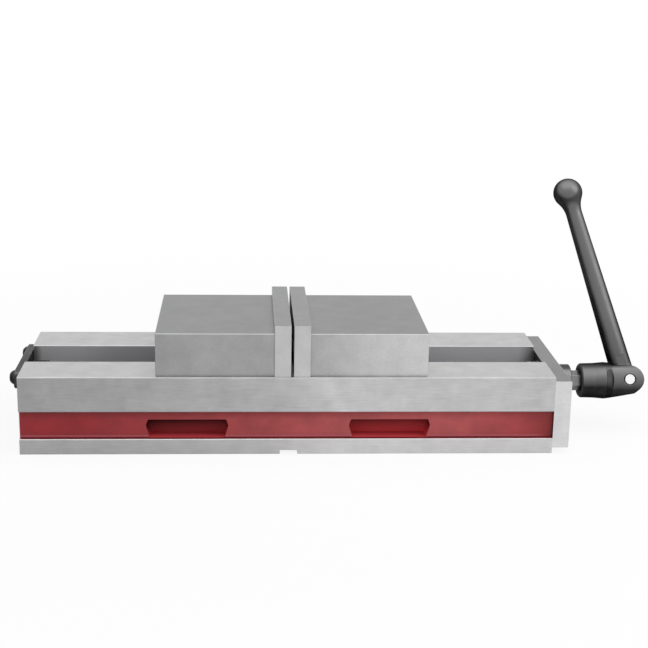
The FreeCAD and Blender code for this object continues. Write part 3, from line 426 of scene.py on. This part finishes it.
def blackened(name, dark, light, painted_light=painted_hub_highlight, front=None, rim=1.0, grain=700.0):
    """Black-oxide steel, lighter where the painted-light function gives 1, which is a painted highlight."""
    tree, shader = bare_material(name)
    cast = noise(tree, grain, detail=4.0)
    cloud = noise(tree, CLOUD_SCALE, detail=3.0)
    slow = maths(tree, "MULTIPLY", cloud, CLOUD_SHARE)
    amount = maths(tree, "ADD", maths(tree, "MULTIPLY", cast, CAST_SHARE), slow)
    amount = maths(tree, "MULTIPLY", maths(tree, "SUBTRACT", amount, 0.5), BLOTCHES)
    amount = maths(tree, "ADD", painted_light(tree), amount, clamp=True)
    skin = mixed(tree, amount, dark, light)
    # painted reflection: the collar's faces that look forwards take the front colour
    if front:
        collar = maths(tree, "GREATER_THAN", coordinate(tree, "X"), COLLAR_FROM)
        collar = maths(tree, "MULTIPLY", collar, facing(tree, COLLAR_SIDE, *COLLAR_FACING))
        skin = mixed(tree, collar, skin, front)
    normal = bumped_normal(tree, BLACK_BUMP, cast, rounded_normal(tree, BLACK_EDGE))
    plug(tree, shader.inputs["Base Color"], skin)
    plug(tree, shader.inputs["Roughness"], ramp(tree, cloud, *CLOUD_SPAN, *BLACK_ROUGH))
    plug(tree, shader.inputs["Normal"], normal)
    shader.inputs["Metallic"].default_value = 1.0
    shader.inputs["Specular Tint"].default_value = (rim, rim, rim, 1.0)


def driven_screw(colour, dark, light):
    """The leadscrew's steel: bright along the thread, blackened on the hexagon, with a painted highlight on
    the hexagon's upper faces and edges.
    """
    tree, shader, bright = machined("screw_steel", colour, grain=1800.0, stretch=(1.0, 0.3, 0.3),
                                    rough=(0.26, 0.36))
    black = mixed(tree, painted_hub_highlight(tree), dark, light)
    # painted highlight along the hexagon's edges
    hex_glints = edge_mask(tree, rounded_normal(tree, HEX_EDGE))
    black = mixed(tree, hex_glints, black, scaled(light, HEX_EDGE_HIGHLIGHT))
    hexagon = maths(tree, "GREATER_THAN", coordinate(tree, "X"), HEX_START)
    plug(tree, shader.inputs["Base Color"], mixed(tree, hexagon, bright, black))


def slot_colour(tree, x):
    """The slot's walls and the ledges at their foot, with painted light and shade: dark at both ends and on
    the ledges.
    """
    slot = srgb(SLOT_GREY)
    wall = slot
    for start, end, factor in SLOT_PAINTED_SHADES:
        wall = mixed(tree, ramp(tree, x, start, end), wall, scaled(slot, factor))
    return mixed(tree, facing(tree, UP), wall, scaled(slot, SLOT_LEDGE_SHADE))


def paint_colour(tree, x, z, in_pocket, cloud, worn_and_lit_edges):
    """The band's paint, with painted light and shade: lighter towards the middle of the bed, a painted
    highlight along its lip and its edges, a painted shadow line at its floor, and painted shade under its
    upper edge, by the end plate and in the pockets.
    """
    paint, shaded_paint = srgb(PAINT), srgb(PAINT_IN_SHADE)
    # painted light: the paint lighter towards the middle of the bed, shaded towards its ends
    coat = mixed(tree, ramp(tree, x, *PAINT_LIGHT_RISE), srgb(PAINT_SHADED_LEFT), srgb(PAINT_LIT_MIDDLE))
    coat = mixed(tree, ramp(tree, x, *PAINT_LIGHT_FALL), coat, srgb(PAINT_SHADED_RIGHT))
    coat = multiplied(tree, coat, ramp(tree, cloud, *PAINT_PATCHES))
    # painted highlight along the lip, and a painted shadow line at the band's floor
    coat = mixed(tree, ramp(tree, z, *LIP_HIGHLIGHT_LINE), coat, srgb(PAINT_LIP_HIGHLIGHT))
    coat = mixed(tree, ramp(tree, z, *FLOOR_SHADE_LINE), coat, scaled(shaded_paint, FLOOR_LINE_SHADE))
    # painted highlight along the paint's edges
    coat = mixed(tree, maths(tree, "MULTIPLY", worn_and_lit_edges, PAINT_EDGE_SHARE), coat, scaled(paint, PAINT_EDGE_HIGHLIGHT))
    upper = maths(tree, "MULTIPLY", ramp(tree, z, *UPPER_SPAN), ramp(tree, x, *UPPER_SHARE))
    coat = mixed(tree, upper, coat, scaled(shaded_paint, UPPER_SHADE))
    coat = mixed(tree, ramp(tree, x, *PLATE_SHADOW), coat, shaded_paint)
    left, right = (scaled(paint, factor) for factor in POCKET_SHADES)
    shade = mixed(tree, ramp(tree, x, *POCKET_SPAN), left, right)
    shade = mixed(tree, ramp(tree, z, *POCKET_LIGHT_SPAN), scaled(paint, POCKET_LIGHT), shade)
    return mixed(tree, in_pocket, coat, painted_light_drift(tree, shade, *POCKET_LIGHT_DRIFT))


def painted_bed():
    """Ground iron, with the recessed band and its pockets painted."""
    tree, shader = bare_material("bed_iron")
    colour = srgb(BED_GREY)
    skin, streaks, metal_relief = metal_skin(tree, colour, GROUND_GRAIN, GROUND_STRETCH, BED_CONTRAST)
    rounded = rounded_normal(tree, GROUND_EDGE)
    worn_and_lit_edges = edge_mask(tree, rounded)
    x, z = coordinate(tree, "X"), coordinate(tree, "Z")
    y = maths(tree, "ABSOLUTE", coordinate(tree, "Y"))

    in_slot = maths(tree, "MULTIPLY", maths(tree, "LESS_THAN", y, SLOT_SIDE), within(tree, z, *SLOT_HEIGHT))
    in_slot = maths(tree, "MULTIPLY", in_slot, within(tree, x, -SLOT_END, SLOT_END))
    in_band = maths(tree, "MULTIPLY", within(tree, z, *BAND_HEIGHT), within(tree, y, *BAND_DEPTH))
    in_band = maths(tree, "MULTIPLY", in_band, within(tree, x, *BAND_ENDS))
    in_pocket = maths(tree, "LESS_THAN", y, POCKET_SIDE)

    # edges lighter, partly as wear and partly as a painted highlight
    metal = mixed(tree, maths(tree, "MULTIPLY", worn_and_lit_edges, BED_EDGE_SHARE), skin, scaled(colour, BED_EDGE_WEAR_AND_HIGHLIGHT))
    metal = mixed(tree, ramp(tree, z, *BAND_HEIGHT, FOOT_LIGHT, 0.0), metal, WHITE)
    # painted shade on the chamfers
    metal = shaded_chamfers(tree, metal, BED_CHAMFER_SHADE)
    # painted light and shade along the bed
    for factors, span in BED_LIGHT_DRIFTS:
        metal = painted_light_drift(tree, metal, factors, span)
    metal = mixed(tree, in_slot, metal, slot_colour(tree, x))
    cloud = noise(tree, PAINT_CLOUD, detail=4.0)
    coat = paint_colour(tree, x, z, in_pocket, cloud, worn_and_lit_edges)
    plug(tree, shader.inputs["Base Color"], mixed(tree, in_band, metal, coat))

    peel = maths(tree, "MULTIPLY", noise(tree, PAINT_PEEL, detail=2.0), PEEL_BUMP)
    relief = blended(tree, in_band, maths(tree, "MULTIPLY", metal_relief, GROUND_BUMP), peel)
    plug(tree, shader.inputs["Normal"], bumped_normal(tree, 1.0, relief, rounded))

    metal_rough = ramp(tree, streaks, *STREAK_SPAN, *GROUND_ROUGH)
    metal_rough = maths(tree, "ADD", metal_rough, maths(tree, "MULTIPLY", in_slot, SLOT_ROUGH))
    paint_rough = ramp(tree, cloud, *PAINT_ROUGH)
    paint_rough = maths(tree, "ADD", paint_rough, maths(tree, "MULTIPLY", in_pocket, POCKET_ROUGH))
    plug(tree, shader.inputs["Roughness"], blended(tree, in_band, metal_rough, paint_rough))

    # painted shade: the pocket's upper part is made partly metallic, which darkens it
    dark_pocket = maths(tree, "MULTIPLY", in_pocket, ramp(tree, z, *POCKET_DARK))
    dull = maths(tree, "MULTIPLY", in_band, maths(tree, "SUBTRACT", 1.0, dark_pocket))
    dull = maths(tree, "MAXIMUM", dull, maths(tree, "MULTIPLY", in_slot, SLOT_DULL))
    plug(tree, shader.inputs["Metallic"], maths(tree, "SUBTRACT", 1.0, dull))
    shader.inputs["Specular IOR Level"].default_value = PAINT_SPECULAR


painted_bed()
# the top and inner colours are painted shade, and the drifts painted light and shade along the jaws
machined("end_plate_steel", srgb("d6d6d7"), shaded_top=srgb("808081"), stretch=(1.0, 0.05, 1.0),
         inner_shade=srgb("343435"))
machined("jaw_iron", srgb("b6b6b7"), shaded_top=srgb("868687"), grain=1500.0, stretch=(0.3, 1.0, 1.0),
         light_drifts=JAW_LIGHT_DRIFTS, chamfer=0.85)
machined("jaw_plate_steel", srgb("c2c2c3"), shaded_top=srgb("8c8c8d"), grain=1300.0, stretch=(1.0, 0.08, 1.0),
         inner_shade=srgb("8c8c8d"), chamfer=0.6)
machined("nut_iron", srgb("7c7c7e"), grain=500.0, stretch=(1.0, 1.0, 1.0), rough=(0.42, 0.55))
machined("hardened_steel", srgb("a8a8ac"), rough=(0.2, 0.3), contrast=0.06)
driven_screw(srgb("9a9a9c"), srgb("747474"), srgb("828282"))
machined("bearing_steel", srgb("8a8a8e"), rough=(0.25, 0.35), contrast=0.04, bump=0.03)
machined("pin_steel", srgb("f0f0f0"), rough=(0.3, 0.4), contrast=0.03, edge=0.0003)
machined("bronze", srgb("a87d48"), rough=(0.28, 0.4))
machined("cage_brass", srgb("6e654c"), rough=(0.4, 0.5))
# the lighter colours are painted highlights, and the collar's front colour is a painted reflection
blackened("crank_black", srgb("141414"), srgb("6c6c6c"), painted_light=painted_crank_light, rim=0.4)
blackened("black_steel", srgb("282828"), srgb("5c5c5c"), front=srgb("777777"))
blackened("black_screw", srgb("222222"), srgb("484848"), grain=1500.0)


# the leadscrew, with its thread

def screw_mesh():
    verts, faces = [], []

    def circle(x, radius, steps=TURN_STEPS, start=0.0):
        first = len(verts)
        for i in range(steps):
            angle = start + 2 * math.pi * i / steps
            verts.append((x, radius * math.cos(angle), SCREW_HEIGHT + radius * math.sin(angle)))
        return first

    def joined(first, second, steps=TURN_STEPS):
        for i in range(steps):
            j = (i + 1) % steps
            faces.append((first + i, first + j, second + j, second + i))

    def turned(profile):
        rings = [circle(x, radius) for x, radius in profile]
        for first, second in zip(rings, rings[1:]):
            joined(first, second)
        return rings

    def thread(start, end, hand, low_depth, high_depth):
        """A helix whose ends are cut by planes; its crest follows the chamfers there."""
        crest_from = 1 - THREAD_CREST - THREAD_FLANK
        offsets = (0.0, crest_from - THREAD_FLANK, crest_from, 1 - THREAD_FLANK)
        depths = (THREAD_DEPTH, THREAD_DEPTH, 0.0, 0.0)
        turns = int((end - start) / THREAD_PITCH) + 3
        first = len(verts)
        for k in range(turns * TURN_STEPS + 1):
            angle = 2 * math.pi * k / TURN_STEPS * hand
            for offset, depth in zip(offsets, depths):
                x = start + THREAD_PITCH * (k / TURN_STEPS + offset - 1.5)
                held = min(max(x, start), end)
                cut = max(0.0, low_depth - (held - start), high_depth - (end - held))
                radius = THREAD_RADIUS - max(depth, cut)
                verts.append((held, radius * math.cos(angle), SCREW_HEIGHT + radius * math.sin(angle)))
        count = turns * TURN_STEPS
        for k in range(count):
            a = first + 4 * k
            quads = [(a + j, a + j + 1, a + j + 5, a + j + 4) for j in range(3)]
            if k + TURN_STEPS < count:
                b = a + 4 * TURN_STEPS
                quads.append((a + 3, b, b + 4, a + 7))
            faces.extend(quad if hand > 0 else quad[::-1] for quad in quads)

    root = THREAD_RADIUS - THREAD_DEPTH
    low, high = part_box("leadscrew")
    tail = turned([(low.x, TAIL_CENTRE), (low.x, TAIL_RADIUS - TAIL_CHAMFER),
                   (low.x + TAIL_CHAMFER, TAIL_RADIUS), (THREAD_START, TAIL_RADIUS),
                   (THREAD_START, THREAD_RADIUS - END_CHAMFER)])
    faces.append(tuple(tail[0] + i for i in range(TURN_STEPS)))
    thread(THREAD_START, NECK_START + NECK_CONE, 1, END_CHAMFER, NECK_CONE)
    turned([(NECK_START + NECK_CONE - CONE_RUN, root), (NECK_START + NECK_CONE, NECK_RADIUS),
            (NECK_END - NECK_CONE, NECK_RADIUS), (NECK_END - NECK_CONE + CONE_RUN, root)])
    thread(NECK_END - NECK_CONE, SHOULDER, -1, NECK_CONE, END_CHAMFER)
    turned([(SHOULDER, THREAD_RADIUS - END_CHAMFER), (SHOULDER, JOURNAL_RADIUS),
            (HEX_START, JOURNAL_RADIUS), (HEX_START, HEX_INSIDE)])

    corner = HEX_FLATS / math.sqrt(3)
    turn = math.radians(90.0 - CRANK_TURN)
    profile = ((HEX_START, corner), (high.x - HEX_CHAMFER, corner), (high.x, corner - HEX_CHAMFER))
    most = JOURNAL_RADIUS + HEX_PROUD
    rings = [circle(x, min(radius, most), HEX_SIDES, turn) for x, radius in profile]
    for first, second in zip(rings, rings[1:]):
        joined(first, second, HEX_SIDES)
    faces.append(tuple(rings[-1] + i for i in range(HEX_SIDES)))
    mesh = bpy.data.meshes.new("leadscrew_threaded")
    mesh.from_pydata(verts, [], faces)
    mesh.validate()
    mesh.update()
    return mesh


def leadscrew():
    obj = bpy.data.objects.new("leadscrew_threaded", screw_mesh())
    bpy.context.scene.collection.objects.link(obj)
    obj.data.materials.append(bpy.data.materials["screw_steel"])
    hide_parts("leadscrew")
    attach(obj, "screw")


leadscrew()


# floor, light and camera

def floor():
    material = bpy.data.materials.new("floor_white")
    material.use_nodes = True
    tree = material.node_tree
    tree.nodes.clear()
    output = add(tree, "ShaderNodeOutputMaterial")
    plain = add(tree, "ShaderNodeBsdfDiffuse", {"Color": FLOOR_PALE})
    glow = add(tree, "ShaderNodeEmission", {"Color": WHITE, "Strength": 1.0})
    rays = add(tree, "ShaderNodeLightPath")
    place = add(tree, "ShaderNodeTexCoord").outputs["Object"]
    far = add(tree, "ShaderNodeVectorMath", {0: place}, operation="LENGTH").outputs["Value"]
    seen = maths(tree, "MULTIPLY", rays.outputs["Is Camera Ray"], ramp(tree, far, *FLOOR_GLOW))
    in_gloss = maths(tree, "MULTIPLY", rays.outputs["Is Glossy Ray"], FLOOR_IN_GLOSS)
    seen = maths(tree, "MAXIMUM", seen, in_gloss)
    mix = add(tree, "ShaderNodeMixShader", {0: seen, 1: plain.outputs[0], 2: glow.outputs[0]})
    tree.links.new(mix.outputs[0], output.inputs["Surface"])
    mesh = bpy.data.meshes.new("floor")
    signs = ((-1, -1), (1, -1), (1, 1), (-1, 1))
    corners = [(FLOOR_HALF * x, FLOOR_HALF * y, FLOOR_LEVEL) for x, y in signs]
    mesh.from_pydata(corners, [], [(0, 1, 2, 3)])
    mesh.materials.append(material)
    obj = bpy.data.objects.new("floor", mesh)
    bpy.context.scene.collection.objects.link(obj)


def world():
    studio = bpy.data.worlds.new("studio")
    bpy.context.scene.world = studio
    studio.use_nodes = True
    tree = studio.node_tree
    tree.nodes.clear()
    output = add(tree, "ShaderNodeOutputWorld")
    rays = add(tree, "ShaderNodeLightPath")
    seen = maths(tree, "MAXIMUM", rays.outputs["Is Camera Ray"], rays.outputs["Is Glossy Ray"])
    seen = maths(tree, "MAXIMUM", seen, rays.outputs["Is Transmission Ray"])
    strength = ramp(tree, seen, *WORLD_STRENGTH)
    background = add(tree, "ShaderNodeBackground", {"Color": WHITE, "Strength": strength})
    tree.links.new(background.outputs[0], output.inputs["Surface"])


def area_light(name, place, target, size, power):
    data = bpy.data.lights.new(name, "AREA")
    data.shape = "RECTANGLE"
    data.size, data.size_y = size
    data.energy = power
    obj = bpy.data.objects.new(name, data)
    bpy.context.scene.collection.objects.link(obj)
    obj.location = place
    obj.rotation_mode = "QUATERNION"
    obj.rotation_quaternion = (Vector(target) - Vector(place)).to_track_quat("-Z", "Y")


def camera():
    yaw, pitch, roll = CAMERA_YAW, CAMERA_PITCH, CAMERA_ROLL
    level = Vector((math.sin(yaw), math.cos(yaw), 0.0))
    forward = Vector((level.x * math.cos(pitch), level.y * math.cos(pitch), math.sin(pitch)))
    right = Vector((level.y, -level.x, 0.0))
    up = right.cross(forward)
    across = math.cos(roll) * right + math.sin(roll) * up
    upward = math.cos(roll) * up - math.sin(roll) * right
    data = bpy.data.cameras.new("camera")
    data.sensor_width = SENSOR_WIDTH
    data.lens = CAMERA_LENS
    obj = bpy.data.objects.new("camera", data)
    bpy.context.scene.collection.objects.link(obj)
    turn = Matrix((across, upward, -forward)).transposed()
    obj.matrix_world = Matrix.Translation(CAMERA_PLACE) @ turn.to_4x4()
    bpy.context.scene.camera = obj


floor()
world()
for lamp in LAMPS:
    area_light(*lamp)
camera()
bpy.context.scene.view_settings.view_transform = "Standard"
